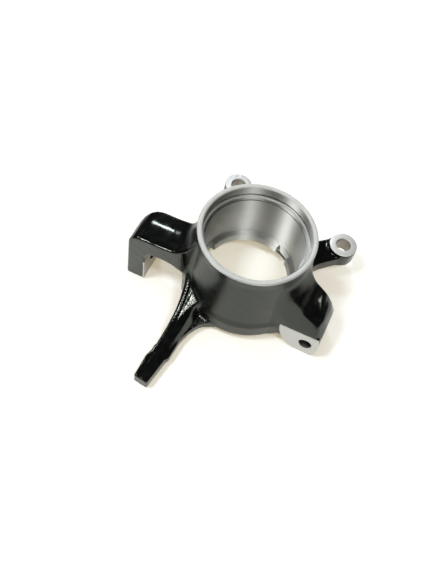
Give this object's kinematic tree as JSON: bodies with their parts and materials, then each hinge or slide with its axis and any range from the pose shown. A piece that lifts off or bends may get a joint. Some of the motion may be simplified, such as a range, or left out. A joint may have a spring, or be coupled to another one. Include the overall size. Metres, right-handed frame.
{
  "type": "steering knuckle",
  "caption": "Forged steering knuckle with a machined wheel bearing bore, a hook leg, a long tapered arm, a drilled lug and caliper ears.",
  "frame": {"origin": "on the wheel bearing's axis, at the shoulder that the bearing stops on", "axes": "+Z along the bearing's axis, out of the bore's machined mouth; +X along the lug's machined face; the long arm points to -Y"},
  "size_m": [0.1719, 0.2085, 0.078],
  "materials": {
    "forging": "semi-gloss black paint on a forged steel skin"
  },
  "bodies": {
    "root": {"knuckle": "forging"}
  },
  "joints": []
}
